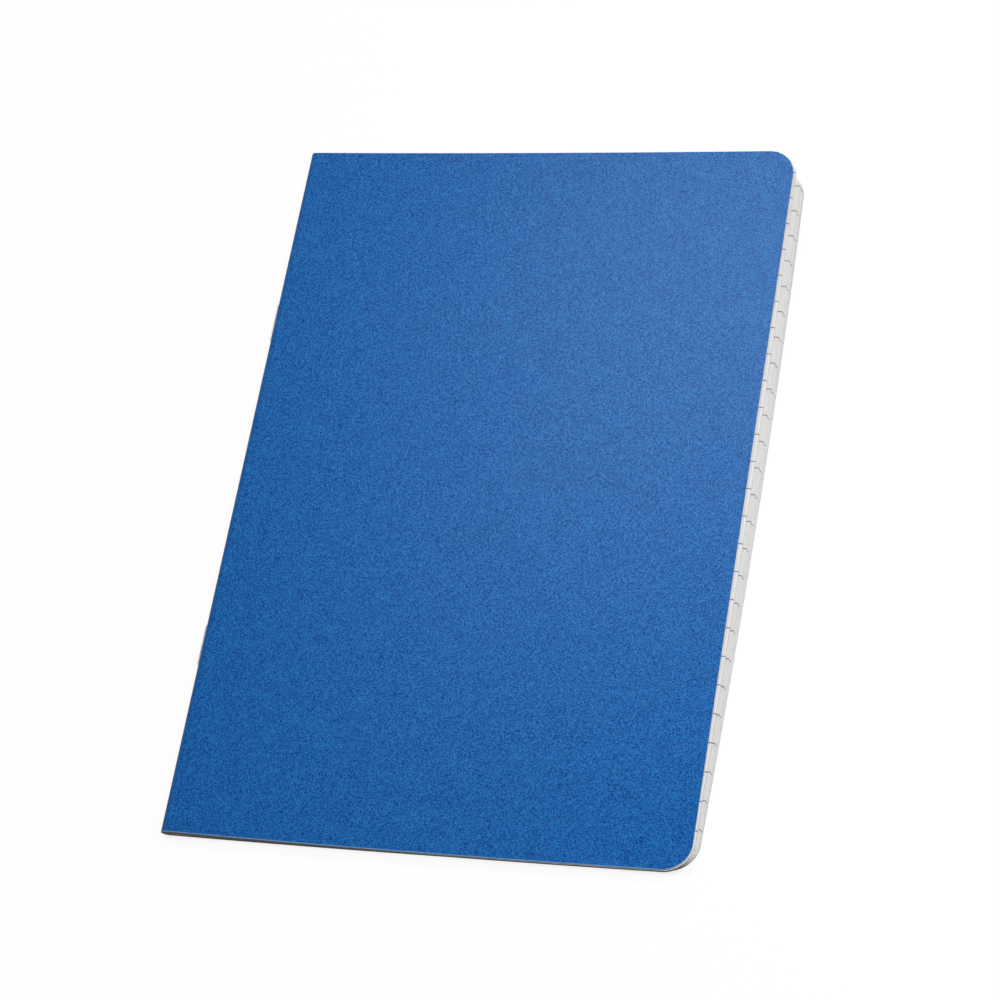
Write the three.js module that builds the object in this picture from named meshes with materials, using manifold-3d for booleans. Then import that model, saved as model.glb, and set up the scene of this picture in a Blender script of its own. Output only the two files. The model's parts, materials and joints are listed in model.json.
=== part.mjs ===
// A soft-cover notebook, saddle stitched: folded sheets nest inside a folded card cover, and two
// wire staples hold them through the fold. It lies closed on its back cover, and its free leaves
// stand a little apart, more at the head than at the tail, as they do once it has been opened.
// Millimetres. +X runs from the spine to the fore edge, +Y from the tail to the head, and +Z points
// out of the front cover. The origin is the middle of the notebook's outline, at table level.

import * as THREE from "three";
import { mergeVertices } from "three/addons/utils/BufferGeometryUtils.js";
import Module from "manifold-3d";

// Trimmed size
const PAGE_HEIGHT = 210; // tail to head
const COVER_WIDTH = 140; // outside of the spine to the fore edge of the cover
const LEAF_OVERHANG = 1.3; // the leaves reach this far past the fore edge of the cover
const CORNER_RADIUS = 7.5; // the two corners at the fore edge; the corners at the spine are square

// Card and paper
const CARD_THICKNESS = 0.35;
const LEAF_THICKNESS = 0.09;
const SHEET_COUNT = 12; // folded sheets, each of which gives one leaf before the centre and one after
const LEAF_AIR = 0.015; // air between neighbours where they lie closest

// How the leaves stand apart at the fore edge
const HEAD_SPRING = 6.65; // between the two halves of the block, at the head
const TAIL_SPRING = 0.1; // the same, at the tail
const HEAD_FAN = 0.22; // more air between the leaves of the back half, at the head

// Staples
const WIRE_DIAMETER = 0.4;
const CROWN_LENGTH = 12; // the straight back of a staple, outside the spine
const CLINCH_LENGTH = 4.5; // each leg's bent-over end, inside the centre fold
const BEND_RADIUS = 0.35; // of the wire's centre line
const STAPLE_INSET = 55; // head or tail edge to the middle of the nearer staple
const CROWN_SEAT = 0.05; // between the crown and the card
const CLINCH_SEAT = 0.06; // between the bent-over ends and the centre fold
const CLINCH_ROOM = 0.04; // more room round the bent-over ends, as the fold isn't pressed flat
const LEG_CLEARANCE = 0.2; // round each leg, where it goes through card and paper

// Folds
const HALF_PARTING = 0.1; // between the front and the back half, along the fold
const CREASE_PARTING = 0.3; // between the fold and the panel of the front cover

// How finely the curves are cut
const FOLD_STEPS = 3; // over the quarter circle of a fold
const CORNER_STEPS = 4; // over a rounded corner
const FLAT_STEPS = 2; // spine to fore edge, where a leaf is straight
const HEIGHT_STEPS = 8; // tail to head
const WIRE_SIDES = 8;
const BEND_STEPS = 4;

// Sizes that follow from those above. The folds share one axis, which runs along the spine.
const LEAF_WIDTH = COVER_WIDTH + LEAF_OVERHANG;
const LEAF_PITCH = LEAF_THICKNESS + LEAF_AIR;
const WIRE_RADIUS = WIRE_DIAMETER / 2;
const CENTRE_FOLD_RADIUS = WIRE_RADIUS + CLINCH_SEAT + CLINCH_ROOM;
const CARD_FOLD_RADIUS = CENTRE_FOLD_RADIUS + SHEET_COUNT * LEAF_PITCH;
const SPINE_RADIUS = CARD_FOLD_RADIUS + CARD_THICKNESS;
const FOLD_AXIS_X = SPINE_RADIUS;
const MID_HEIGHT = SPINE_RADIUS + HALF_PARTING / 2;
const SPINE_THICKNESS = 2 * MID_HEIGHT;

const FRONT = 1;
const BACK = -1;

const cardFinish = { color: 0x245e9e, roughness: 0.62, metalness: 0 };
const paperFinish = { color: 0xf2f1ec, roughness: 0.85, metalness: 0 };
const wireFinish = { color: 0xb9bbbd, roughness: 0.35, metalness: 1 };

const manifold = await Module();
manifold.setup();

// A geometry as a solid that can be cut, and back again.
function toSolid(geometry) {
  const bare = new THREE.BufferGeometry();
  bare.setAttribute("position", geometry.getAttribute("position"));
  bare.setIndex(geometry.getIndex());
  const merged = mergeVertices(bare);
  const vertProperties = new Float32Array(merged.getAttribute("position").array);
  const triVerts = new Uint32Array(merged.getIndex().array);
  return new manifold.Manifold(new manifold.Mesh({ numProp: 3, vertProperties, triVerts }));
}

function toGeometry(solid) {
  const mesh = solid.getMesh();
  const geometry = new THREE.BufferGeometry();
  geometry.setAttribute("position", new THREE.Float32BufferAttribute(mesh.vertProperties, 3));
  geometry.setIndex(Array.from(mesh.triVerts));
  geometry.computeVertexNormals();
  return geometry;
}

// A closed sheet between two faces. A row is a function of the share of the way from tail to head,
// and gives the two points there: on the face towards the centre fold, and on the face away from it.
function sheetGeometry(rows, half) {
  const positions = [];
  for (const row of rows) {
    for (let step = 0; step <= HEIGHT_STEPS; step++) {
      positions.push(...row(step / HEIGHT_STEPS).flat());
    }
  }
  const index = [];
  const at = (row, step, face) => 2 * (row * (HEIGHT_STEPS + 1) + step) + face;
  const quad = (a, b, c, d) => {
    index.push(...(half === FRONT ? [a, b, c, a, c, d] : [a, c, b, a, d, c]));
  };
  const lastRow = rows.length - 1;
  for (let row = 0; row < lastRow; row++) {
    for (let step = 0; step < HEIGHT_STEPS; step++) {
      quad(at(row, step, 1), at(row + 1, step, 1), at(row + 1, step + 1, 1), at(row, step + 1, 1));
      quad(at(row, step, 0), at(row, step + 1, 0), at(row + 1, step + 1, 0), at(row + 1, step, 0));
    }
    quad(at(row, 0, 0), at(row + 1, 0, 0), at(row + 1, 0, 1), at(row, 0, 1));
    const top = HEIGHT_STEPS;
    quad(at(row, top, 1), at(row + 1, top, 1), at(row + 1, top, 0), at(row, top, 0));
  }
  for (let step = 0; step < HEIGHT_STEPS; step++) {
    quad(at(0, step, 0), at(0, step, 1), at(0, step + 1, 1), at(0, step + 1, 0));
    quad(at(lastRow, step, 1), at(lastRow, step, 0), at(lastRow, step + 1, 0), at(lastRow, step + 1, 1));
  }
  const geometry = new THREE.BufferGeometry();
  geometry.setAttribute("position", new THREE.Float32BufferAttribute(positions, 3));
  geometry.setIndex(index);
  geometry.computeVertexNormals();
  return geometry;
}

// The quarter circle of a fold, from the parting at mid thickness round to the flat of the sheet.
function foldRows(layer) {
  const axisHeight = MID_HEIGHT + (layer.half * HALF_PARTING) / 2;
  const rows = [];
  for (let step = 0; step <= FOLD_STEPS; step++) {
    const turn = (step / FOLD_STEPS) * (Math.PI / 2);
    rows.push((share) =>
      [layer.foldRadius, layer.foldRadius + layer.thickness].map((radius) => [
        FOLD_AXIS_X - radius * Math.cos(turn),
        share * PAGE_HEIGHT,
        axisHeight + layer.half * radius * Math.sin(turn),
      ]),
    );
  }
  return rows;
}

// The underside of a layer beyond its fold: level with the fold at the spine, and at its own tail
// and head heights at the fore edge, so the sheet is gently twisted.
function undersideHeight(layer, x, y) {
  const axisHeight = MID_HEIGHT + (layer.half * HALF_PARTING) / 2;
  const lowerRadius = layer.half === FRONT ? layer.foldRadius : -layer.foldRadius - layer.thickness;
  const atFold = axisHeight + lowerRadius;
  const atForeEdge = THREE.MathUtils.lerp(layer.tailHeight, layer.headHeight, y / PAGE_HEIGHT);
  return THREE.MathUtils.lerp(atFold, atForeEdge, (x - FOLD_AXIS_X) / (COVER_WIDTH - FOLD_AXIS_X));
}

// How much a rounded corner takes off the tail and the head of a sheet, at x.
function cornerTrim(width, x) {
  const intoCorner = Math.max(0, x - (width - CORNER_RADIUS));
  return CORNER_RADIUS - Math.sqrt(Math.max(0, CORNER_RADIUS ** 2 - intoCorner ** 2));
}

function flatRow(layer, x) {
  return (share) => {
    const trim = cornerTrim(layer.width, x);
    const y = THREE.MathUtils.lerp(trim, PAGE_HEIGHT - trim, share);
    const under = [x, y, undersideHeight(layer, x, y)];
    const over = [x, y, under[2] + layer.thickness];
    return layer.half === FRONT ? [under, over] : [over, under];
  };
}

// The rows of a sheet beyond its fold, from the given start to the fore edge.
function flatRows(layer, start) {
  const cornerStart = layer.width - CORNER_RADIUS;
  const rows = [];
  for (let step = 0; step < FLAT_STEPS; step++) {
    rows.push(flatRow(layer, THREE.MathUtils.lerp(start, cornerStart, step / FLAT_STEPS)));
  }
  for (let step = 0; step <= CORNER_STEPS; step++) {
    const turn = (step / CORNER_STEPS) * (Math.PI / 2);
    rows.push(flatRow(layer, cornerStart + CORNER_RADIUS * Math.sin(turn)));
  }
  return rows;
}

// The layers of the closed notebook from the back cover up, with the height of each underside at
// the fore edge. Sheet 1 lies next to the cover, and its leaves are the first and the last.
function stackLayers() {
  const card = (half) => ({
    half,
    thickness: CARD_THICKNESS,
    foldRadius: CARD_FOLD_RADIUS,
    width: COVER_WIDTH,
  });
  const leaf = (sheet, half) => ({
    half,
    thickness: LEAF_THICKNESS,
    foldRadius: CENTRE_FOLD_RADIUS + (SHEET_COUNT - sheet) * LEAF_PITCH,
    width: LEAF_WIDTH,
    number: half === FRONT ? sheet : 2 * SHEET_COUNT + 1 - sheet,
  });
  const sheets = Array.from({ length: SHEET_COUNT }, (_, i) => i + 1);
  const layers = [
    card(BACK),
    ...sheets.map((sheet) => leaf(sheet, BACK)),
    ...sheets.reverse().map((sheet) => leaf(sheet, FRONT)),
    card(FRONT),
  ];
  layers[0].tailHeight = 0;
  layers[0].headHeight = 0;
  for (let i = 1; i < layers.length; i++) {
    const below = layers[i - 1];
    const atCentre = below.half !== layers[i].half;
    const headAir = LEAF_AIR + (layers[i].half === BACK ? HEAD_FAN : 0) + (atCentre ? HEAD_SPRING : 0);
    const tailAir = LEAF_AIR + (atCentre ? TAIL_SPRING : 0);
    layers[i].tailHeight = below.tailHeight + below.thickness + tailAir;
    layers[i].headHeight = below.headHeight + below.thickness + headAir;
  }
  return layers;
}

// Staples
const crownX = -(CROWN_SEAT + WIRE_RADIUS);
const clinchX = FOLD_AXIS_X - CENTRE_FOLD_RADIUS + CLINCH_SEAT + WIRE_RADIUS;
const stapleCentres = { staple_tail: STAPLE_INSET, staple_head: PAGE_HEIGHT - STAPLE_INSET };

// Points of a route through the given corners, with each inner corner rounded.
function roundedRoute(corners, radius) {
  const route = [corners[0]];
  for (let i = 1; i + 1 < corners.length; i++) {
    const arrive = corners[i].clone().sub(corners[i - 1]).normalize();
    const leave = corners[i + 1].clone().sub(corners[i]).normalize();
    const centre = corners[i].clone().addScaledVector(arrive, -radius).addScaledVector(leave, radius);
    for (let step = 0; step <= BEND_STEPS; step++) {
      const turn = (step / BEND_STEPS) * (Math.PI / 2);
      route.push(
        centre
          .clone()
          .addScaledVector(leave, -radius * Math.cos(turn))
          .addScaledVector(arrive, radius * Math.sin(turn)),
      );
    }
  }
  route.push(corners[corners.length - 1]);
  return route;
}

// Round wire along a flat route, mitred at each point and closed at both ends.
function wireGeometry(route) {
  const positions = [];
  route.forEach((point, i) => {
    const before = point.clone().sub(route[Math.max(i - 1, 0)]).normalize();
    const after = route[Math.min(i + 1, route.length - 1)].clone().sub(point).normalize();
    const along = before.clone().add(after).normalize();
    const mitre = 1 / along.dot(i === 0 ? after : before);
    for (let side = 0; side < WIRE_SIDES; side++) {
      const turn = (side / WIRE_SIDES) * 2 * Math.PI;
      const out = WIRE_RADIUS * mitre * Math.cos(turn);
      positions.push(point.x + along.y * out, point.y - along.x * out, WIRE_RADIUS * Math.sin(turn));
    }
  });
  const index = [];
  for (let ring = 0; ring + 1 < route.length; ring++) {
    for (let side = 0; side < WIRE_SIDES; side++) {
      const a = ring * WIRE_SIDES + side;
      const b = ring * WIRE_SIDES + ((side + 1) % WIRE_SIDES);
      index.push(a, a + WIRE_SIDES, b, b, a + WIRE_SIDES, b + WIRE_SIDES);
    }
  }
  const lastRing = (route.length - 1) * WIRE_SIDES;
  for (let side = 1; side + 1 < WIRE_SIDES; side++) {
    index.push(0, side, side + 1, lastRing, lastRing + side + 1, lastRing + side);
  }
  const geometry = new THREE.BufferGeometry();
  geometry.setAttribute("position", new THREE.Float32BufferAttribute(positions, 3));
  geometry.setIndex(index);
  geometry.computeVertexNormals();
  return geometry;
}

function stapleGeometry() {
  const reach = CROWN_LENGTH / 2 - WIRE_RADIUS;
  const corners = [
    [clinchX, reach - CLINCH_LENGTH],
    [clinchX, reach],
    [crownX, reach],
    [crownX, -reach],
    [clinchX, -reach],
    [clinchX, CLINCH_LENGTH - reach],
  ].map(([x, y]) => new THREE.Vector2(x, y));
  return wireGeometry(roundedRoute(corners, BEND_RADIUS));
}

// The holes that the four legs make through the fold.
function legHoles() {
  const radius = WIRE_RADIUS + LEG_CLEARANCE;
  const length = FOLD_AXIS_X - crownX;
  const holes = [];
  for (const centre of Object.values(stapleCentres)) {
    for (const side of [-1, 1]) {
      const hole = new THREE.CylinderGeometry(radius, radius, length, WIRE_SIDES);
      hole.rotateZ(Math.PI / 2);
      const y = centre + side * (CROWN_LENGTH / 2 - WIRE_RADIUS);
      hole.translate((crownX + FOLD_AXIS_X) / 2, y, MID_HEIGHT);
      holes.push(toSolid(hole));
    }
  }
  return holes;
}

const holes = legHoles();

function pierced(geometry) {
  return toGeometry(holes.reduce((solid, hole) => solid.subtract(hole), toSolid(geometry)));
}

function part(name, geometry, finish) {
  const mesh = new THREE.Mesh(geometry, new THREE.MeshStandardMaterial(finish));
  mesh.name = name;
  return mesh;
}

const layers = stackLayers();
const backCard = layers[0];
const frontCard = layers[layers.length - 1];

const cover = new THREE.Group();
const backRows = [...foldRows(backCard), ...flatRows(backCard, FOLD_AXIS_X).slice(1)];
cover.add(part("back_cover", pierced(sheetGeometry(backRows, BACK)), cardFinish));
cover.add(part("cover_spine", pierced(sheetGeometry(foldRows(frontCard), FRONT)), cardFinish));
const frontRows = flatRows(frontCard, FOLD_AXIS_X + CREASE_PARTING);
cover.add(part("front_cover", sheetGeometry(frontRows, FRONT), cardFinish));

const leaves = new THREE.Group();
for (const layer of layers.slice(1, -1)) {
  const rows = [...foldRows(layer), ...flatRows(layer, FOLD_AXIS_X).slice(1)];
  const name = `leaf_${String(layer.number).padStart(2, "0")}`;
  leaves.add(part(name, pierced(sheetGeometry(rows, layer.half)), paperFinish));
}

const staples = new THREE.Group();
for (const [name, centre] of Object.entries(stapleCentres)) {
  const staple = part(name, stapleGeometry(), wireFinish);
  staple.position.set(0, centre, MID_HEIGHT);
  staples.add(staple);
}

// The halves of the block turn about a line just outside the crowns, so that they clear the wire.
// The panel of the front cover turns about the outer edge of its crease.
const spineEdgeX = crownX - WIRE_RADIUS;
const placeX = -(spineEdgeX + LEAF_WIDTH) / 2;
const notebook = new THREE.Group();
notebook.name = "notebook";
notebook.userData.hinges = {
  centre_opening: { x: placeX + spineEdgeX - CROWN_SEAT, z: MID_HEIGHT },
  front_cover_opening: {
    x: placeX + FOLD_AXIS_X + CREASE_PARTING / 2,
    z: SPINE_THICKNESS + CROWN_SEAT,
  },
};

const block = new THREE.Group();
block.position.set(placeX, -PAGE_HEIGHT / 2, 0);
block.add(cover, leaves, staples);
notebook.add(block);

export default notebook;
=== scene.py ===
# %% [markdown]
# A soft-cover notebook, dressed for its portrait.
# The notebook is a stack of folded sheets in a folded card cover, held through the fold by two wire
# staples. It lies closed on its back cover, with its spine along -X, its tail along -Y, and its
# front cover up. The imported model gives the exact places, and this script gives the looks.

import json
import math
import random

import bmesh
import bpy
from mathutils import Matrix, Vector

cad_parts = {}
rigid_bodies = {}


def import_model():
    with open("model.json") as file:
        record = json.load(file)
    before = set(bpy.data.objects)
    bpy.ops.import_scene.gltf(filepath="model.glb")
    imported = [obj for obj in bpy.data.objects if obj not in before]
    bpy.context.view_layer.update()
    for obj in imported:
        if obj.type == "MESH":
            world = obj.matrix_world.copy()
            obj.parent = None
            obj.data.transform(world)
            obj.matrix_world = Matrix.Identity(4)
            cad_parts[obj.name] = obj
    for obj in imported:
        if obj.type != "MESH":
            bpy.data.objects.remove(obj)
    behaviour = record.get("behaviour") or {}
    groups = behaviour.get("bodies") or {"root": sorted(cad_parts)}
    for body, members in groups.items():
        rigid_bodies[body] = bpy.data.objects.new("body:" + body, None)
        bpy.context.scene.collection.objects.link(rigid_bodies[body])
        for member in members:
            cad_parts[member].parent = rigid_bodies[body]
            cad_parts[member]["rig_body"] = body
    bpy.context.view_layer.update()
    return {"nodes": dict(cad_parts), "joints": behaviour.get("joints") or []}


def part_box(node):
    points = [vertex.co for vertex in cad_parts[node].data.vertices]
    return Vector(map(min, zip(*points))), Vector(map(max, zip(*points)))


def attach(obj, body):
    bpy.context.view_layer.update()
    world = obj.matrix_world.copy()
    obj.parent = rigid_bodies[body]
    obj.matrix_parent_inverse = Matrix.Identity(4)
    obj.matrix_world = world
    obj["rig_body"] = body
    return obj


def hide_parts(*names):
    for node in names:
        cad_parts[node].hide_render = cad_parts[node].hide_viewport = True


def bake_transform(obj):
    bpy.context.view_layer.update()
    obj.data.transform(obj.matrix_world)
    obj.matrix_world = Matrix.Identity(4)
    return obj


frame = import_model()

# %% [markdown]
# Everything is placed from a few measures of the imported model, so that the paper meets the wire and
# the card wraps the paper. The spine fold of every sheet is a half circle round one common axis,
# and each half of the notebook has its own copy of that axis, a hair apart.

# %% Measures taken from the model
MM = 0.001
back_low, back_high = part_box("back_cover")
spine_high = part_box("cover_spine")[1]
leaf_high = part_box("leaf_01")[1]
joints = {joint["name"]: joint for joint in frame["joints"]}

TAIL_Y = back_low.y
HEAD_Y = back_high.y
SPINE_X = back_low.x
COVER_FORE_X = back_high.x
LEAF_FORE_X = leaf_high.x
FOLD_X = spine_high.x
SPINE_TOP = spine_high.z
MID_Z = joints["centre_opening"]["pos_m"][2]
CREASE_X, _, CREASE_Z = joints["front_cover_opening"]["pos_m"]
SPINE_RADIUS = FOLD_X - SPINE_X
PARTING = SPINE_TOP - 2 * SPINE_RADIUS
LEAF_COUNT = sum(name.startswith("leaf_") for name in frame["nodes"])
SHEET_COUNT = LEAF_COUNT // 2
print(f"page {(COVER_FORE_X - SPINE_X) / MM:.1f} x {(HEAD_Y - TAIL_Y) / MM:.1f} mm")
print(f"spine radius {SPINE_RADIUS / MM:.2f} mm, {LEAF_COUNT} leaves")

# %% [markdown]
# These are the sizes of the stock: the card, the paper and the air between two leaves. The sheets
# nest in the spine one inside the other, so what they leave free is the bend of the innermost one.

# %% Card and paper
CARD = 0.35 * MM
PAPER = 0.09 * MM
AIR = 0.015 * MM
PITCH = PAPER + AIR
CENTRE_FOLD = SPINE_RADIUS - CARD - SHEET_COUNT * PITCH
print(f"the innermost sheet bends round {CENTRE_FOLD / MM:.2f} mm")

# %% [markdown]
# The camera stands well back with a long lens, a little to the right of the notebook and below its
# tail, and is rolled so that the head is up in the picture. It could be aimed with a constraint, but
# a constraint leaves the roll to Blender. The lens, the place and the two directions of the picture
# come from the four edges of the front cover in the photograph, so they are set as they are.

# %% The camera
CAMERA_PLACE = Vector((287.83, -520.86, 962.57)) * MM
PICTURE_RIGHT = Vector((0.96618, 0.16654, -0.19688))
PICTURE_DOWN = Vector((0.05117, -0.87212, -0.48661))
LENS_MM = 152.97
SENSOR_MM = 36
NEAREST = 0.01
FURTHEST = 100


def new_object(name, data):
    thing = bpy.data.objects.new(name, data)
    bpy.context.scene.collection.objects.link(thing)
    return thing


camera_data = bpy.data.cameras.new("camera")
camera_data.lens = LENS_MM
camera_data.sensor_width = SENSOR_MM
camera_data.clip_start = NEAREST
camera_data.clip_end = FURTHEST
camera = new_object("camera", camera_data)
picture_right = PICTURE_RIGHT.normalized()
picture_up = -(PICTURE_DOWN - PICTURE_DOWN.project(picture_right)).normalized()
towards_viewer = picture_right.cross(picture_up)
turn = Matrix((picture_right, picture_up, towards_viewer)).transposed()
camera.matrix_world = Matrix.Translation(CAMERA_PLACE) @ turn.to_4x4()
bpy.context.scene.camera = camera
bpy.context.scene.view_settings.view_transform = "Standard"
print("camera at", [round(c, 3) for c in camera.location], "lens", LENS_MM)

# %% [markdown]
# A material is a small graph of nodes. These helpers keep the graphs short: one starts a material,
# one feeds a socket with a value or with another node, one adds a node with its settings, and one
# does sums.

# %% Helpers for node graphs
def new_material(name):
    material = bpy.data.materials.new(name)
    material.use_nodes = True
    material.node_tree.nodes.clear()
    return material, material.node_tree


def feed(tree, socket, value):
    if isinstance(value, bpy.types.NodeSocket):
        tree.links.new(value, socket)
    else:
        socket.default_value = value


def add_node(tree, kind, inputs=None, **settings):
    node = tree.nodes.new(kind)
    for name, value in settings.items():
        setattr(node, name, value)
    for name, value in (inputs or {}).items():
        feed(tree, node.inputs[name], value)
    return node


def sums(tree, operation, *values):
    node = tree.nodes.new("ShaderNodeMath")
    node.operation = operation
    for socket, value in zip(node.inputs, values):
        feed(tree, socket, value)
    return node.outputs[0]


print("node helpers ready")

# %% [markdown]
# The next helpers are the steps that every finish here shares: a noise, a blend of two colours, a
# stretch of a value to a new range, and the surface itself. The surface takes its colour and its
# bump from the graph. What is the same all over, such as roughness, is set on its socket.

# %% Helpers for finishes
def noise(tree, place, scale, detail=2.0, roughness=0.5):
    inputs = {"Vector": place, "Scale": scale, "Detail": detail, "Roughness": roughness}
    return add_node(tree, "ShaderNodeTexNoise", inputs).outputs["Fac"]


def mixed_colour(tree, share, first, second):
    node = tree.nodes.new("ShaderNodeMix")
    node.data_type = "RGBA"
    feed(tree, node.inputs["Factor"], share)
    feed(tree, node.inputs[6], first)
    feed(tree, node.inputs[7], second)
    return node.outputs[2]


def remap(tree, value, low, high, to_low=0.0, to_high=1.0):
    inputs = {"Value": value, "From Min": low, "From Max": high, "To Min": to_low, "To Max": to_high}
    return add_node(tree, "ShaderNodeMapRange", inputs).outputs["Result"]


def finish_surface(tree, colour, bump_height, bump_distance, settings):
    bump = add_node(tree, "ShaderNodeBump", {"Height": bump_height, "Distance": bump_distance})
    inputs = {"Base Color": colour, "Normal": bump.outputs["Normal"], **settings}
    shader = add_node(tree, "ShaderNodeBsdfPrincipled", inputs)
    add_node(tree, "ShaderNodeOutputMaterial", {"Surface": shader.outputs["BSDF"]})


print("finish helpers ready")

# %% [markdown]
# The cover is dyed card with a fine fleck. A fine noise could draw it, but close up it looks like
# worms. So the fleck is random cells, a fifth of a millimetre across, each with its own shade. Two
# slower noises, the felt of the fibres and a cloudiness, shift the shades a little. The pattern
# reads the card's own UV map, in metres, so it stays on the card where the cover bends. A grain
# with the same felt and cloud drives the bump, so the sheen is broken up too. The very edge along
# the tail is painted a lighter blue, a painted highlight where the edge would catch the light.

# %% Blue card
CARD_DARK = (0.0, 0.037, 0.210, 1)
CARD_LIGHT = (0.015, 0.173, 0.496, 1)
# The next two are a painted highlight along the tail edge of the cover, and where it fades out.
CARD_TAIL_HIGHLIGHT = (0.10, 0.27, 0.66, 1)
TAIL_HIGHLIGHT_TO = (0.16 * MM, 0.26 * MM)
CELLS_PER_METRE = 5000
GRAIN_SCALE = 3000
FELT_SCALE = 1300
CLOUD_SCALE = 160
CELL_SHARE = 0.5
GRAIN_SHARE = 0.67
FELT_SHARE = 0.09
CLOUD_SHARE = 0.11
SHADE_RANGE = (0.21, 0.49)
CARD_RELIEF = 0.05 * MM
CARD_SURFACE = {
    "Roughness": 0.2,
    "IOR": 1.5,
    "Specular IOR Level": 0.072,
    "Specular Tint": (0.88, 1.0, 1.0, 1),
}


def make_card():
    material, tree = new_material("card_blue")
    place = add_node(tree, "ShaderNodeUVMap", uv_map="sheet").outputs["UV"]
    grain = noise(tree, place, GRAIN_SCALE, 0.0)
    felt = noise(tree, place, FELT_SCALE, 0.0)
    cloud = noise(tree, place, CLOUD_SCALE, 3.0, 0.8)
    slow = sums(tree, "MULTIPLY_ADD", cloud, CLOUD_SHARE, sums(tree, "MULTIPLY", felt, FELT_SHARE))
    pattern = {"Vector": place, "Scale": CELLS_PER_METRE}
    cells = add_node(tree, "ShaderNodeTexVoronoi", pattern, voronoi_dimensions="2D")
    shade = sums(tree, "MULTIPLY_ADD", cells.outputs["Color"], CELL_SHARE, slow)
    blue = mixed_colour(tree, remap(tree, shade, *SHADE_RANGE), CARD_DARK, CARD_LIGHT)
    # Painted highlight: the cover turns a lighter blue along its tail edge.
    from_tail = add_node(tree, "ShaderNodeSeparateXYZ", {"Vector": place}).outputs["Y"]
    blue = mixed_colour(tree, remap(tree, from_tail, *TAIL_HIGHLIGHT_TO), CARD_TAIL_HIGHLIGHT, blue)
    relief = sums(tree, "MULTIPLY_ADD", grain, GRAIN_SHARE, slow)
    finish_surface(tree, blue, relief, CARD_RELIEF, CARD_SURFACE)
    return material


card_blue = make_card()
print("made", card_blue.name)

# %% [markdown]
# Only the outside of the card is dyed, and the inside is plain pale board. The worn cut edges are
# grey on the back cover, and a dull grey blue on the front, darkened as painted shade under the
# tail edge. All three are one recipe, in which slow fibres darken the tint a little.

# %% Board for the inside and the cut edges
FIBRE_RANGE = (0.3, 0.7)
BOARD_FIBRES = 1200
BOARD_RELIEF = 0.03 * MM
BOARD_SURFACE = {"Roughness": 0.8, "Specular IOR Level": 0.2}
BOARD_SHADE = 0.9


def make_board(name, tint):
    material, tree = new_material(name)
    place = add_node(tree, "ShaderNodeTexCoord").outputs["Object"]
    fibres = noise(tree, place, BOARD_FIBRES, 3.0)
    darker = tuple(BOARD_SHADE * part for part in tint[:3]) + (1,)
    colour = mixed_colour(tree, remap(tree, fibres, *FIBRE_RANGE), darker, tint)
    finish_surface(tree, colour, fibres, BOARD_RELIEF, BOARD_SURFACE)
    return material


board_white = make_board("board_white", (0.76, 0.77, 0.78, 1))
board_cut = make_board("board_cut", (0.38, 0.385, 0.39, 1))
# The front cover's cut rim is darkened as painted shade, for the dark line under the tail edge.
card_edge_shaded = make_board("card_edge_shaded", (0.26, 0.40, 0.58, 1))
print("made", board_white.name, board_cut.name, card_edge_shaded.name)

# %% [markdown]
# The leaves are white writing paper with feint ruling every 8 mm. The lines run off the fore edge,
# so each leaf's edge carries a tick at each line. The ruling could be thin strips of mesh, but then
# every leaf would carry 25 of them. It is sums on the leaf's UV map instead: the distance to the
# nearest multiple of the pitch, kept only between the first line and the last.

# %% The ruling
RULE_PITCH = 8 * MM
FIRST_RULE = 11.2 * MM
RULE_COUNT = 25
RULE_WIDTH = 0.28 * MM
RULE_GREY = (0.16, 0.17, 0.19, 1)


def ruling(tree, along_page):
    from_first = sums(tree, "SUBTRACT", along_page, FIRST_RULE)
    steps = sums(tree, "DIVIDE", from_first, RULE_PITCH)
    off_line = sums(tree, "PINGPONG", steps, 0.5)
    on_line = sums(tree, "LESS_THAN", off_line, 0.5 * RULE_WIDTH / RULE_PITCH)
    above_first = sums(tree, "GREATER_THAN", steps, -0.5)
    below_last = sums(tree, "LESS_THAN", steps, RULE_COUNT - 0.5)
    return sums(tree, "MULTIPLY", on_line, sums(tree, "MULTIPLY", above_first, below_last))


last_rule = FIRST_RULE + (RULE_COUNT - 1) * RULE_PITCH
print(f"{RULE_COUNT} lines, the last {last_rule / MM:.1f} mm up the page")

# %% [markdown]
# One recipe makes three papers. The back leaves are plain. The front leaves have painted shade,
# greyer in the last two millimetres at the fore edge where the cover shades them. The cut edges
# are darker, partly rough and partly painted shade between the sheets, and along the tail they
# are painted dark grey as a painted shadow. Each tone fades in over a stretch of the leaf's UV map.

# %% The papers
# The tail tone is a painted shadow and the fore tone is painted shade, each fading in over its span.
TAIL_SHADOW_FADE = (0.3 * MM, 5 * MM)
FORE_SHADE_SPAN = (LEAF_FORE_X - FOLD_X - 2.4 * MM, LEAF_FORE_X - FOLD_X - 1.4 * MM)
PAPER_FIBRES = 900
PAPER_RELIEF = 0.01 * MM
PAPER_SURFACE = {"Roughness": 0.75, "Specular IOR Level": 0.2}
WHITE = (0.82, 0.815, 0.80, 1)
WHITE_SHADE = (0.79, 0.785, 0.77, 1)
# Painted shade at the fore edge of the front leaves.
FORE_SHADE_GREY = (0.745, 0.74, 0.725, 1)
# The cut edges are darker, partly from their rough cut and partly as painted shade between the sheets.
CUT_GREY = (0.65, 0.647, 0.64, 1)
CUT_SHADE = (0.56, 0.557, 0.55, 1)
# Painted shadow along the tail of the cut edges, fading out up the corner.
TAIL_SHADOW_GREY = (0.15, 0.145, 0.135, 1)


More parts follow.
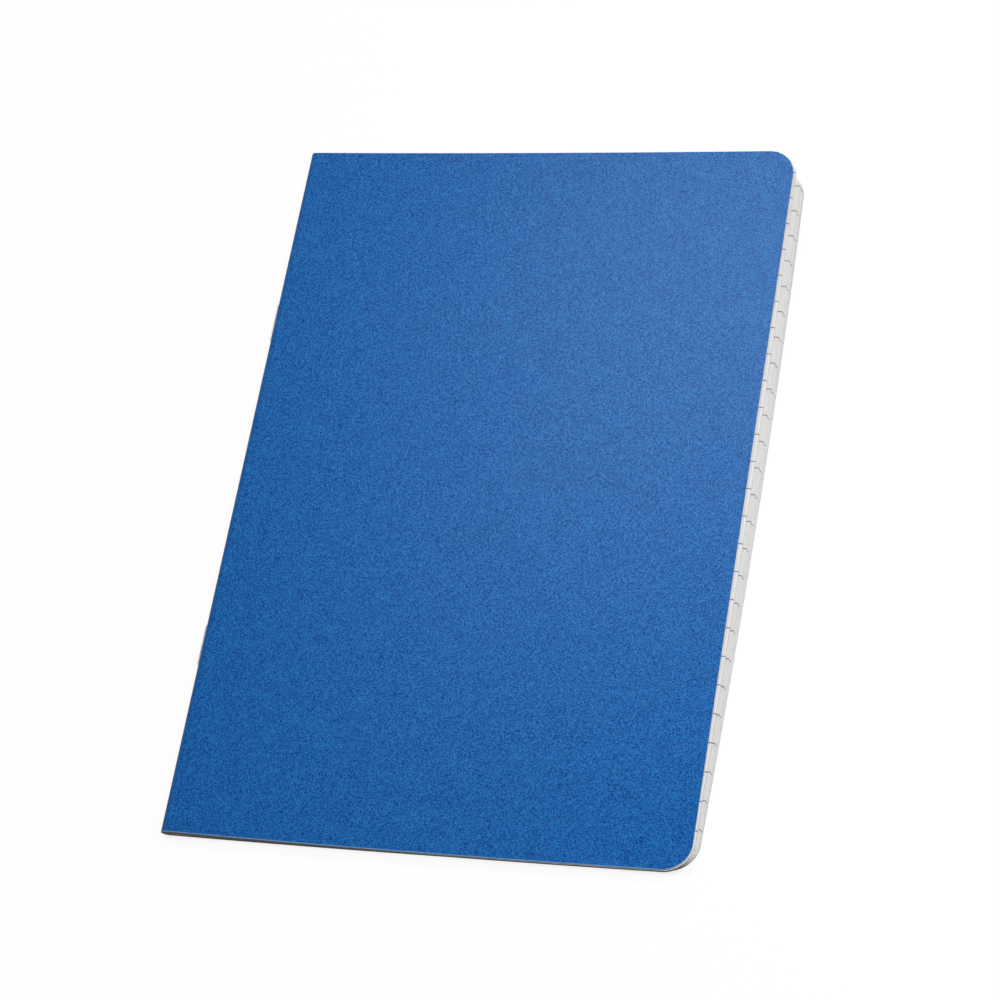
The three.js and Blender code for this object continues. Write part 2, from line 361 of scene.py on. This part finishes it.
def make_paper(name, darker, lighter, tail_shadow_tone, fore_shade_tone):
    material, tree = new_material(name)
    place = add_node(tree, "ShaderNodeUVMap", uv_map="sheet").outputs["UV"]
    page = add_node(tree, "ShaderNodeSeparateXYZ", {"Vector": place}).outputs
    fibres = noise(tree, place, PAPER_FIBRES, 3.0)
    paper = mixed_colour(tree, remap(tree, fibres, *FIBRE_RANGE), darker, lighter)
    paper = mixed_colour(tree, remap(tree, page["Y"], *TAIL_SHADOW_FADE), tail_shadow_tone, paper)
    paper = mixed_colour(tree, remap(tree, page["X"], *FORE_SHADE_SPAN), paper, fore_shade_tone)
    colour = mixed_colour(tree, ruling(tree, page["Y"]), paper, RULE_GREY)
    finish_surface(tree, colour, fibres, PAPER_RELIEF, PAPER_SURFACE)
    return material


paper_ruled = make_paper("paper_ruled", WHITE_SHADE, WHITE, WHITE, WHITE)
paper_fore_shade = make_paper("paper_fore_shade", WHITE_SHADE, WHITE, WHITE, FORE_SHADE_GREY)
paper_cut = make_paper("paper_cut", CUT_SHADE, CUT_GREY, TAIL_SHADOW_GREY, CUT_GREY)
print("made", paper_ruled.name, paper_fore_shade.name, paper_cut.name)

# %% [markdown]
# A sheet could be a box with its corners rounded, but paper bends, so it needs rows of faces to
# bend at. This way starts from one rectangular face. Its two corners at the fore edge are bevelled
# round, and cuts are made across it in both directions, so that its heights can be set point by
# point later.

# %% The flat of a sheet
CORNER = 7.5 * MM
CORNER_SEGMENTS = 10
ACROSS_PAGE = 0
ALONG_PAGE = 1


def flat_outline(mesh, start_x, fore_x):
    corners = [(start_x, TAIL_Y), (fore_x, TAIL_Y), (fore_x, HEAD_Y), (start_x, HEAD_Y)]
    points = [mesh.verts.new((x, y, 0)) for x, y in corners]
    mesh.faces.new(points)
    bmesh.ops.bevel(mesh, geom=points[1:3], offset=CORNER, affect="VERTICES",
                    segments=CORNER_SEGMENTS, profile=0.5, material=-1)


def cut_across(mesh, axis, places):
    for place in places:
        point = Vector((0, 0, 0))
        point[axis] = place
        normal = Vector((0, 0, 0))
        normal[axis] = 1
        everything = mesh.verts[:] + mesh.edges[:] + mesh.faces[:]
        bmesh.ops.bisect_plane(mesh, geom=everything, plane_co=point, plane_no=normal)


def steps_between(low, high, count):
    return [low + (high - low) * step / count for step in range(1, count)]


print(f"the corners of a sheet have a radius of {CORNER / MM:.1f} mm")

# %% [markdown]
# The fold grows from the flat. Spinning the edge at the spine round an axis sweeps out the bend,
# and pulling an edge along draws out a straight strip. Both give back the new edges at the far end,
# so one step can follow another. The faces are the outer side of the sheet, so at the end they are
# all turned to look out of their own half of the notebook.

# %% Growing a fold
FRONT = 1
BACK = -1
ALONG_Y = (0, 1, 0)
QUARTER_TURN = math.pi / 2
SAME_PLACE = 1e-7


def fold_axis(half):
    return MID_Z + half * PARTING / 2


def edges_in(items):
    return [item for item in items if isinstance(item, bmesh.types.BMEdge)]


def at_fold(point):
    return abs(point.co.x - FOLD_X) < SAME_PLACE


def edges_at_fold(mesh):
    return [edge for edge in mesh.edges if all(at_fold(point) for point in edge.verts)]


def spin(mesh, edges, centre, axis, angle, steps):
    moved = bmesh.ops.spin(mesh, geom=edges, cent=centre, axis=axis, angle=angle, steps=steps,
                           use_merge=False)
    return edges_in(moved["geom_last"])


def pull(mesh, edges, way, length):
    grown = bmesh.ops.extrude_edge_only(mesh, edges=edges)["geom"]
    points = [item for item in grown if isinstance(item, bmesh.types.BMVert)]
    bmesh.ops.translate(mesh, verts=points, vec=Vector(way) * length)
    return edges_in(grown)


def face_away(mesh, half):
    bmesh.ops.remove_doubles(mesh, verts=mesh.verts, dist=SAME_PLACE)
    bmesh.ops.recalc_face_normals(mesh, faces=mesh.faces)
    widest = max(mesh.faces, key=lambda face: face.calc_area())
    if widest.normal.z * half < 0:
        bmesh.ops.reverse_faces(mesh, faces=mesh.faces)


print(f"the halves fold round {fold_axis(BACK) / MM:.3f} and {fold_axis(FRONT) / MM:.3f} mm up")

# %% [markdown]
# The UV map lays the sheet out flat: V runs from the tail, and U is the distance from the fold's
# start, measured round the fold. Blender could unwrap it, but here both directions and the scale
# are known, so they are written down. The map is laid out before the sheet slides to its place, so
# the ruling slides with the paper. Each leaf's V may be shifted a little too, as printing never
# falls in quite the same place on every sheet.

# %% UV map of a sheet
def lay_out_uv(mesh, half, radius, shift):
    layer = mesh.loops.layers.uv.new("sheet")
    axis_z = fold_axis(half)
    for face in mesh.faces:
        for loop in face.loops:
            x, y, z = loop.vert.co
            u = x - FOLD_X
            if u < 0:
                u = -radius * abs(math.atan2(FOLD_X - x, half * (z - axis_z)))
            loop[layer].uv = (u, y - TAIL_Y + shift)


print("UV helper ready")

# %% [markdown]
# Handling wears the rim of the card round. A Bevel modifier on every edge alike would look new, so
# it goes by a weight: full along the tail, a fifth along the other sides, and none at the seam on
# the spine, where the two lengths of the card meet. The edges at the seam are told from the rest
# because they are on the spine and run up the page, each by more than a millimetre.

# %% Worn edges
CARD_WEAR = 0.16 * MM
SIDE_WEAR = 0.2
TAIL_STRIP = 2 * MM
LENGTHWISE = 1 * MM
WEAR_SEGMENTS = 2


def wear_of(edge):
    lengthwise = abs(edge.verts[0].co.y - edge.verts[1].co.y) > LENGTHWISE
    on_seam = lengthwise and all(point.co.x < FOLD_X - CARD for point in edge.verts)
    if on_seam or not edge.is_boundary:
        return 0.0
    at_tail = all(point.co.y < TAIL_Y + TAIL_STRIP for point in edge.verts)
    return 1.0 if at_tail else SIDE_WEAR


def wear_down(piece, width, material_number):
    edge_wear = piece.modifiers.new("worn edge", "BEVEL")
    edge_wear.limit_method = "WEIGHT"
    edge_wear.width = width
    edge_wear.segments = WEAR_SEGMENTS
    edge_wear.material = material_number
    edge_wear.use_clamp_overlap = False
    edge_wear.harden_normals = True


print(f"the card is worn round by {CARD_WEAR / MM:.2f} mm along the tail")

# %% [markdown]
# A finished mesh becomes a piece. The sheet gets its thickness on the inner side from a Solidify
# modifier, so the mesh itself stays one layer. The last of its materials is for the cut rim, and
# the last but one is for the inner side. A leaf has two, because its inner side is like its outer.

# %% From mesh to piece
def mesh_object(name, mesh, materials):
    data = bpy.data.meshes.new(name)
    mesh.to_mesh(data)
    mesh.free()
    for material in materials:
        data.materials.append(material)
    return new_object(name, data)


def sheet_object(name, mesh, thickness, materials, worn=0):
    for face in mesh.faces:
        face.smooth = True
    weight = mesh.edges.layers.float.new("bevel_weight_edge")
    for edge in mesh.edges:
        edge.smooth = not edge.is_boundary
        edge[weight] = wear_of(edge)
    piece = mesh_object(name, mesh, materials)
    solid = piece.modifiers.new("thickness", "SOLIDIFY")
    solid.thickness = thickness
    solid.offset = -1
    solid.use_even_offset = False
    if len(materials) > 1:
        solid.material_offset = len(materials) - 2
        solid.material_offset_rim = len(materials) - 1
    if worn:
        wear_down(piece, worn, len(materials) - 1)
    return piece


print("piece helpers ready")

# %% [markdown]
# The stack decides the height of every sheet. From the back cover up, each one lies on the one
# below with its own air at the tail and at the head. The back half fans open at the head, and not
# evenly. The front half is sprung away from it, and far more at the head than at the tail, so the
# front cover is gently twisted. That twist is what makes the leaves show at the fore edge.

# %% Heights of the stack
TAIL_SPRING = 0.1 * MM
HEAD_SPRING = 6.65 * MM
HEAD_FAN = 0.22 * MM
FAN_PLAY = 0.85
LAST_GAP = 2.5
dice = random.Random(7)


def stack():
    layers = [dict(half=BACK, card=True, tail=0.0, head=0.0, thickness=CARD)]
    for number in range(LEAF_COUNT, 0, -1):
        half = BACK if number > SHEET_COUNT else FRONT
        layers.append(dict(half=half, card=False, number=number, thickness=PAPER))
    layers.append(dict(half=FRONT, card=True, thickness=CARD))
    fans = [1 + dice.uniform(-FAN_PLAY, FAN_PLAY) for _ in range(SHEET_COUNT)]
    fans[0] += LAST_GAP
    fans = [fan * SHEET_COUNT / sum(fans) for fan in fans] + [0] * (SHEET_COUNT + 1)
    for below, layer, fan in zip(layers, layers[1:], fans):
        sprung = below["half"] != layer["half"]
        tail_air = AIR + (TAIL_SPRING if sprung else 0)
        head_air = AIR + (HEAD_SPRING if sprung else 0) + HEAD_FAN * fan
        layer["tail"] = below["tail"] + below["thickness"] + tail_air
        layer["head"] = below["head"] + below["thickness"] + head_air
    return layers


layers = stack()
top = layers[-1]
print(f"fore edge height: tail {(top['tail'] + CARD) / MM:.2f}, head {(top['head'] + CARD) / MM:.2f} mm")

# %% [markdown]
# Between the fold and the fore edge each sheet runs straight, with two bends added. The front half
# sags a little, most at the head. The front cover lifts off its leaves towards the fore edge, and
# so it shades the strip of paper that stands proud of it. COVER_LIFT has three values, for the
# tail, the middle and the head, and a smooth curve runs through them.

# %% Height at any place on a sheet
HEAD_SAG = 0.53 * MM
COVER_LIFT = (0.0 * MM, 1.0 * MM, 0.9 * MM)


def outer_radius(layer):
    """The radius of the outer side of a sheet's fold."""
    if layer["card"]:
        return SPINE_RADIUS
    sheet = layer["number"] if layer["half"] == FRONT else LEAF_COUNT + 1 - layer["number"]
    return CENTRE_FOLD + (SHEET_COUNT - sheet) * PITCH + PAPER


def along_three(values, share):
    tail, middle, head = values
    from_tail = tail * (1 - share) * (1 - 2 * share)
    from_middle = 4 * middle * share * (1 - share)
    from_head = head * share * (2 * share - 1)
    return from_tail + from_middle + from_head


def outer_height(layer, x, y):
    """The height of the side away from the centre: the top in the front half, or the underside."""
    half = layer["half"]
    along = (y - TAIL_Y) / (HEAD_Y - TAIL_Y)
    at_fore = layer["tail"] + (layer["head"] - layer["tail"]) * along
    if half == FRONT:
        at_fore += layer["thickness"]
    at_fold = MID_Z + half * (PARTING / 2 + outer_radius(layer))
    out = (x - FOLD_X) / (COVER_FORE_X - FOLD_X)
    height = at_fold + (at_fore - at_fold) * out
    if half == BACK:
        return height
    lift = 0 if layer["card"] else along_three(COVER_LIFT, along) * out * out
    return height - HEAD_SAG * along * 4 * out * (1 - out) - lift


print(f"head corner of the cover at {outer_height(top, COVER_FORE_X, HEAD_Y) / MM:.2f} mm")

# %% [markdown]
# The sheets have slipped over each other, as they do in a notebook that has been held and bent. At
# the fore edge the front leaves stand proud of the cover by up to a millimetre, the back leaves by
# more, and the back cover by most. The notebook is skewed too: the lower a sheet lies in the fold,
# the further it has slipped to the head, and a little further still at the fore edge. The tail edge
# bows out by half a millimetre midway, and the bow is gone a few centimetres up the page. Each set
# of three is for the tail, the middle and the head of the fore edge.

# %% How far each sheet has slipped
FRONT_PROUD = (0.25 * MM, 0.88 * MM, 0.25 * MM)
BACK_PROUD = (0.75 * MM, 1.42 * MM, 0.55 * MM)
LAST_PROUD = (0.85 * MM, 1.6 * MM, 0.72 * MM)
CARD_PROUD = (1.05 * MM, 2.4 * MM, 0.9 * MM)
SKEW = 0.62 * MM
FRONT_SLIP = (-0.2 * MM, 0.9 * MM, 0.7 * MM)
BACK_SLIP = (0.55 * MM, 0.75 * MM, 0.3 * MM)
LAST_SLIP = (0.55 * MM, 0.65 * MM, 0.4 * MM)
TAIL_BOW = 0.55 * MM
BOW_FADE = 12
EDGE_PLAY = 0.08 * MM
REGISTER_PLAY = 0.1 * MM


def proud_and_slip(layer, share):
    """How far the fore edge of a sheet reaches past the cover, and how far it has slipped to the head."""
    if layer["half"] == FRONT:
        sets = (FRONT_PROUD, FRONT_SLIP)
        return (0, 0) if layer["card"] else [along_three(values, share) for values in sets]
    if layer["card"]:
        return [along_three(values, share) for values in (CARD_PROUD, LAST_SLIP)]
    depth = (layer["number"] - SHEET_COUNT - 1) / (SHEET_COUNT - 1)
    first = [along_three(values, share) for values in (BACK_PROUD, BACK_SLIP)]
    last = [along_three(values, share) for values in (LAST_PROUD, LAST_SLIP)]
    return [near + (far - near) * depth for near, far in zip(first, last)]


def skew(height):
    return SKEW * (SPINE_TOP - height) / SPINE_TOP


def tail_bow(share, out):
    """How far a sheet's tail edge bows out between its fold and its fore edge."""
    return TAIL_BOW * 4 * out * (1 - out) * (1 - share) ** BOW_FADE


def settle(mesh, layer, fore_x, play=0):
    """Slides a sheet to its place, and lifts its flat to its height in the stack."""
    for point in mesh.verts:
        share = (point.co.y - TAIL_Y) / (HEAD_Y - TAIL_Y)
        proud, slip = proud_and_slip(layer, share)
        point.co.y += skew(point.co.z)
        if point.co.x > FOLD_X - SAME_PLACE:
            out = (point.co.x - FOLD_X) / (fore_x - FOLD_X)
            point.co.x += (COVER_FORE_X + proud + play - fore_x) * out
            point.co.y += slip * out - tail_bow(share, out)
            point.co.z = outer_height(layer, point.co.x, point.co.y)


print(f"the front leaves stand proud by {along_three(FRONT_PROUD, 0.5) / MM:.2f} mm midway")

# %% [markdown]
# Now the leaves. Each is one sheet from its fold to the fore edge, and stands for the leaf of the
# same name in the model. Its fold stops just short of the parting between the halves, where its
# other half begins, so that it stays clear of the centre paper when its group lifts a little.

# %% The leaves
ROW_COUNT = 16
COLUMN_COUNT = 10
FOLD_SEGMENTS = 9
FOLD_GAP = 0.075 * MM


def flat_sheet(layer, fore_x, columns, rows):
    mesh = bmesh.new()
    flat_outline(mesh, FOLD_X, fore_x)
    cut_across(mesh, ACROSS_PAGE, steps_between(FOLD_X, fore_x - CORNER, columns))
    cut_across(mesh, ALONG_PAGE, steps_between(TAIL_Y + CORNER, HEAD_Y - CORNER, rows))
    height = MID_Z + layer["half"] * (PARTING / 2 + outer_radius(layer))
    bmesh.ops.translate(mesh, verts=mesh.verts, vec=(0, 0, height))
    return mesh


def spin_fold(mesh, edges, half, angle, segments):
    return spin(mesh, edges, (FOLD_X, 0, fold_axis(half)), ALONG_Y, angle, segments)


def make_leaf(layer):
    half = layer["half"]
    mesh = flat_sheet(layer, LEAF_FORE_X, COLUMN_COUNT, ROW_COUNT)
    sweep = QUARTER_TURN - math.asin(FOLD_GAP / outer_radius(layer))
    spin_fold(mesh, edges_at_fold(mesh), half, -half * sweep, FOLD_SEGMENTS)
    face_away(mesh, half)
    lay_out_uv(mesh, half, outer_radius(layer), dice.uniform(-REGISTER_PLAY, REGISTER_PLAY))
    settle(mesh, layer, LEAF_FORE_X, dice.uniform(-EDGE_PLAY, EDGE_PLAY))
    # The front leaves take the paper with painted shade at the fore edge.
    paper = paper_fore_shade if half == FRONT else paper_ruled
    piece = sheet_object(f"paper_leaf_{layer['number']:02d}", mesh, PAPER, [paper, paper_cut])
    node = f"leaf_{layer['number']:02d}"
    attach(piece, frame["nodes"][node]["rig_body"])
    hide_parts(node)
    return piece


leaves = [make_leaf(layer) for layer in layers if not layer["card"]]
print("made", len(leaves), "leaves")

# %% [markdown]
# The innermost sheet is one piece of paper, so the page runs on across the middle of the opened
# notebook. A thin tongue of paper stands for that: a hairpin that lies in the parting while the
# notebook is closed.
# One edge along the fold is pulled towards the spine, spun half round, and pulled back.

# %% The paper across the centre fold
TONGUE = 0.025 * MM
TONGUE_TURN = 0.03 * MM
TURN_SEGMENTS = 6
TONGUE_X = SPINE_X + CARD + TONGUE_TURN + TONGUE


def hairpin():
    length = FOLD_X - CENTRE_FOLD - TONGUE_X
    mesh = bmesh.new()
    ends = [mesh.verts.new((FOLD_X - CENTRE_FOLD, y, MID_Z - TONGUE_TURN)) for y in (TAIL_Y, HEAD_Y)]
    edges = pull(mesh, [mesh.edges.new(ends)], (-1, 0, 0), length)
    edges = spin(mesh, edges, (TONGUE_X, 0, MID_Z), ALONG_Y, 2 * QUARTER_TURN, TURN_SEGMENTS)
    pull(mesh, edges, (1, 0, 0), length)
    bmesh.ops.remove_doubles(mesh, verts=mesh.verts, dist=SAME_PLACE)
    cut_across(mesh, ALONG_PAGE, steps_between(TAIL_Y, HEAD_Y, ROW_COUNT))
    bmesh.ops.recalc_face_normals(mesh, faces=mesh.faces)
    lowest = min(mesh.faces, key=lambda face: face.calc_center_median().z)
    if lowest.normal.z > 0:
        bmesh.ops.reverse_faces(mesh, faces=mesh.faces)
    return mesh


def centre_paper():
    mesh = hairpin()
    layer = mesh.loops.layers.uv.new("sheet")
    for face in mesh.faces:
        for loop in face.loops:
            loop[layer].uv = (loop.vert.co.x - FOLD_X, loop.vert.co.y - TAIL_Y)
    bmesh.ops.translate(mesh, verts=mesh.verts, vec=(0, skew(MID_Z), 0))
    piece = sheet_object("paper_centre_fold", mesh, TONGUE, [paper_ruled])
    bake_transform(piece)
    return piece


middle = centre_paper()
print("made", middle.name)

# %% [markdown]
# The cover is one folded card. It is made in two lengths that meet just above the middle of the
# spine, because the two halves of the notebook turn apart there. The front length comes first.
# Closely spaced cuts at the crease, beside the spine, give it a close row of faces there. Its
# materials are for the outside, the inside and the cut rim.

# %% The front of the cover
COVER_ROWS = 30
COVER_COLUMNS = 20
CARD_SEGMENTS = 15
SEAM_ANGLE = math.radians(14)
CREASE = (CREASE_X - 0.4 * MM, CREASE_X + 0.7 * MM)
CREASE_CUTS = 8


def front_cover():
    layer = layers[-1]
    mesh = flat_sheet(layer, COVER_FORE_X, COVER_COLUMNS, COVER_ROWS)
    cut_across(mesh, ACROSS_PAGE, steps_between(*CREASE, CREASE_CUTS))
    spin_fold(mesh, edges_at_fold(mesh), FRONT, SEAM_ANGLE - QUARTER_TURN, CARD_SEGMENTS)
    face_away(mesh, FRONT)
    lay_out_uv(mesh, FRONT, SPINE_RADIUS, 0)
    settle(mesh, layer, COVER_FORE_X)
    # The rim and the worn edges take the cut-edge colour with painted shade.
    piece = sheet_object("card_front", mesh, CARD, [card_blue, board_white, card_edge_shaded], CARD_WEAR)
    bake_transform(piece)
    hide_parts("front_cover", "cover_spine")
    return piece


front = front_cover()
print("made", front.name)

# %% [markdown]
# The back length goes round the spine to the seam: a quarter turn, a short straight across the
# parting, and the rest of the bend.

# %% The back of the cover
SEAM_SEGMENTS = 3


def back_cover():
    layer = layers[0]
    mesh = flat_sheet(layer, COVER_FORE_X, COVER_COLUMNS, COVER_ROWS)
    last = spin_fold(mesh, edges_at_fold(mesh), BACK, QUARTER_TURN, CARD_SEGMENTS)
    last = pull(mesh, last, (0, 0, 1), PARTING)
    spin_fold(mesh, last, FRONT, SEAM_ANGLE, SEAM_SEGMENTS)
    face_away(mesh, BACK)
    lay_out_uv(mesh, BACK, SPINE_RADIUS, 0)
    settle(mesh, layer, COVER_FORE_X)
    piece = sheet_object("card_back", mesh, CARD, [card_blue, board_white, board_cut], CARD_WEAR)
    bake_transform(piece)
    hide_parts("back_cover")
    return piece


back = back_cover()
print("made", back.name)

# %% [markdown]
# The staples are bright drawn wire, so the metal has fine lines along its length. A noise that is
# stretched along the spine gives them, where a plain noise would look cast.

# %% Bright wire
WIRE_DARK = (0.24, 0.25, 0.26, 1)
WIRE_LIGHT = (0.42, 0.43, 0.44, 1)
DRAWN_LINES = (9000, 700, 9000)
WIRE_RELIEF = 0.005 * MM
WIRE_SURFACE = {"Metallic": 1.0, "Roughness": 0.32}


def make_wire():
    material, tree = new_material("wire_bright")
    place = add_node(tree, "ShaderNodeTexCoord").outputs["Object"]
    drawn = add_node(tree, "ShaderNodeMapping", {"Vector": place, "Scale": DRAWN_LINES})
    lines = noise(tree, drawn.outputs["Vector"], 1.0)
    colour = mixed_colour(tree, lines, WIRE_DARK, WIRE_LIGHT)
    finish_surface(tree, colour, lines, WIRE_RELIEF, WIRE_SURFACE)
    return material


wire_bright = make_wire()
print("made", wire_bright.name)

# %% [markdown]
# A staple is one length of wire: the crown lies along the spine outside, and each leg goes through
# the fold and is bent over inside the centre spread. A curve with a round bevel could make it too.
# Here a ring of points is pulled for the straight lengths and spun for the bends, as the paper was,
# starting at one bent-over end.

# %% The staples
WIRE_SIDES = 14
BEND_SEGMENTS = 7
BEND_RADIUS = 0.35 * MM
CLINCH = 4.5 * MM


def wire_path(low, high, radius):
    """Each straight length, with the place that the bend after it turns round."""
    crown_x = low.x + radius + BEND_RADIUS
    clinch_x = high.x - radius - BEND_RADIUS
    tail_y = low.y + radius + BEND_RADIUS
    head_y = high.y - radius - BEND_RADIUS
    return [
        ((0, 1, 0), CLINCH - BEND_RADIUS, (clinch_x, head_y)),
        ((-1, 0, 0), clinch_x - crown_x, (crown_x, head_y)),
        ((0, -1, 0), head_y - tail_y, (crown_x, tail_y)),
        ((1, 0, 0), clinch_x - crown_x, (clinch_x, tail_y)),
    ]


def make_staple(node):
    low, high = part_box(node)
    radius = (high.z - low.z) / 2
    middle_z = (low.z + high.z) / 2
    mesh = bmesh.new()
    place = Matrix.Translation((high.x - radius, high.y - radius - CLINCH, middle_z))
    facing = Matrix.Rotation(QUARTER_TURN, 4, "X")
    bmesh.ops.create_circle(mesh, segments=WIRE_SIDES, radius=radius, matrix=place @ facing)
    first = mesh.edges[:]
    edges = first
    for way, length, (x, y) in wire_path(low, high, radius):
        edges = pull(mesh, edges, way, length)
        edges = spin(mesh, edges, (x, y, middle_z), (0, 0, 1), QUARTER_TURN, BEND_SEGMENTS)
    edges = pull(mesh, edges, (0, 1, 0), CLINCH - BEND_RADIUS)
    bmesh.ops.edgeloop_fill(mesh, edges=first)
    bmesh.ops.edgeloop_fill(mesh, edges=edges)
    bmesh.ops.remove_doubles(mesh, verts=mesh.verts, dist=SAME_PLACE)
    bmesh.ops.recalc_face_normals(mesh, faces=mesh.faces)
    for face in mesh.faces:
        face.smooth = len(face.verts) == 4
    piece = mesh_object(f"wire_{node}", mesh, [wire_bright])
    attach(piece, "back_cover")
    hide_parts(node)
    return piece


staples = [make_staple(node) for node in ("staple_tail", "staple_head")]
print("made", [staple.name for staple in staples])

# %% [markdown]
# The stage is a white floor at table level. To the camera it is partly lit and partly plain white,
# so it reads as a white studio and still takes the notebook's shadow. The lit share is largest
# against the notebook, falls within two millimetres, and is gone half a metre away. The lowest
# sheets have slipped in under the cover, so the footprint is drawn a little smaller than the cover.
# To the light that it throws back on the leaves, the floor is a mid grey.

# %% The floor
FLOOR_SIZE = 12
TUCKED_IN = 1.1 * MM
CONTACT_REACH = (0, 1.6 * MM)
CONTACT_PLAIN = (0.82, 1.0)
SHADOW_REACH = (0.1, 0.5)
SHADOW_PLAIN = (0.94, 1.0)
PLAIN_WHITE = (1, 1, 1, 1)
MID_GREY = (0.4, 0.4, 0.4, 1)


def vector_sums(tree, operation, *values):
    return add_node(tree, "ShaderNodeVectorMath", dict(enumerate(values)), operation=operation)


def seen_share(tree):
    """One where the camera looks straight, in a mirror or through glass, and nought elsewhere."""
    rays = add_node(tree, "ShaderNodeLightPath").outputs
    seen = sums(tree, "MAXIMUM", rays["Is Camera Ray"], rays["Is Glossy Ray"])
    return sums(tree, "MAXIMUM", seen, rays["Is Transmission Ray"])


def away_from_footprint(tree):
    place = add_node(tree, "ShaderNodeTexCoord").outputs["Object"]
    footprint = ((COVER_FORE_X - SPINE_X) / 2 - TUCKED_IN, (HEAD_Y - TAIL_Y) / 2 - TUCKED_IN, 0)
    mirrored = vector_sums(tree, "ABSOLUTE", place).outputs["Vector"]
    outside = vector_sums(tree, "SUBTRACT", mirrored, footprint).outputs["Vector"]
    outside = vector_sums(tree, "MAXIMUM", outside, (0, 0, 0)).outputs["Vector"]
    return vector_sums(tree, "LENGTH", outside).outputs["Value"]


def make_floor():
    material, tree = new_material("studio_white")
    away = away_from_footprint(tree)
    contact = remap(tree, away, *CONTACT_REACH, *CONTACT_PLAIN)
    plain = sums(tree, "MULTIPLY", contact, remap(tree, away, *SHADOW_REACH, *SHADOW_PLAIN))
    plain = sums(tree, "MULTIPLY", seen_share(tree), plain)
    straight = add_node(tree, "ShaderNodeLightPath").outputs["Is Camera Ray"]
    colour = mixed_colour(tree, straight, MID_GREY, PLAIN_WHITE)
    lit = add_node(tree, "ShaderNodeBsdfDiffuse", {"Color": colour})
    white = add_node(tree, "ShaderNodeEmission", {"Color": PLAIN_WHITE, "Strength": 1.0})
    both = add_node(tree, "ShaderNodeMixShader", {"Fac": plain})
    feed(tree, both.inputs[1], lit.outputs["BSDF"])
    feed(tree, both.inputs[2], white.outputs["Emission"])
    add_node(tree, "ShaderNodeOutputMaterial", {"Surface": both.outputs["Shader"]})
    return material


floor_mesh = bmesh.new()
bmesh.ops.create_grid(floor_mesh, x_segments=1, y_segments=1, size=FLOOR_SIZE / 2)
floor = mesh_object("floor", floor_mesh, [make_floor()])
print("floor laid,", FLOOR_SIZE, "m square")

# %% [markdown]
# A pale world fills the shadows. The camera sees it plain white, so the edge of the floor doesn't
# show, but as a light it is only a quarter as strong, or it would wash the lamps out.

# %% The world
WORLD_LIGHT = 0.25

world = bpy.data.worlds.new("studio")
world.use_nodes = True
sky_tree = world.node_tree
sky_tree.nodes.clear()
sky_strength = remap(sky_tree, seen_share(sky_tree), 0, 1, WORLD_LIGHT, 1.0)
sky = add_node(sky_tree, "ShaderNodeBackground", {"Color": PLAIN_WHITE, "Strength": sky_strength})
add_node(sky_tree, "ShaderNodeOutputWorld", {"Surface": sky.outputs["Background"]})
bpy.context.scene.world = world
print("world light", WORLD_LIGHT)

# %% [markdown]
# Two lamps do the rest, and both are large and soft. The key light hangs beyond the head, where the
# cover mirrors it to the camera as a soft sheen that brightens towards the fore edge. A weaker fill
# at the side lights the fore edge of the leaves. Each has a place, a size and a power in watts.

# %% The lamps
KEY = ((-0.163, 0.474, 0.75), (0.256, 0.322), 3.0)
FILL = ((0.30, 0.05, 0.38), (0.3, 0.3), 1.7)


def lamp(name, place, size, watts):
    data = bpy.data.lights.new(name, "AREA")
    data.shape = "RECTANGLE"
    data.size, data.size_y = size
    data.energy = watts
    light = new_object(name, data)
    light.location = place
    light.rotation_euler = (-Vector(place)).to_track_quat("-Z", "Y").to_euler()
    light.visible_camera = False


lamp("key", *KEY)
lamp("fill", *FILL)

# %% [markdown]
# The view layer is brought up to date at the end.

# %% Finish
bpy.context.view_layer.update()
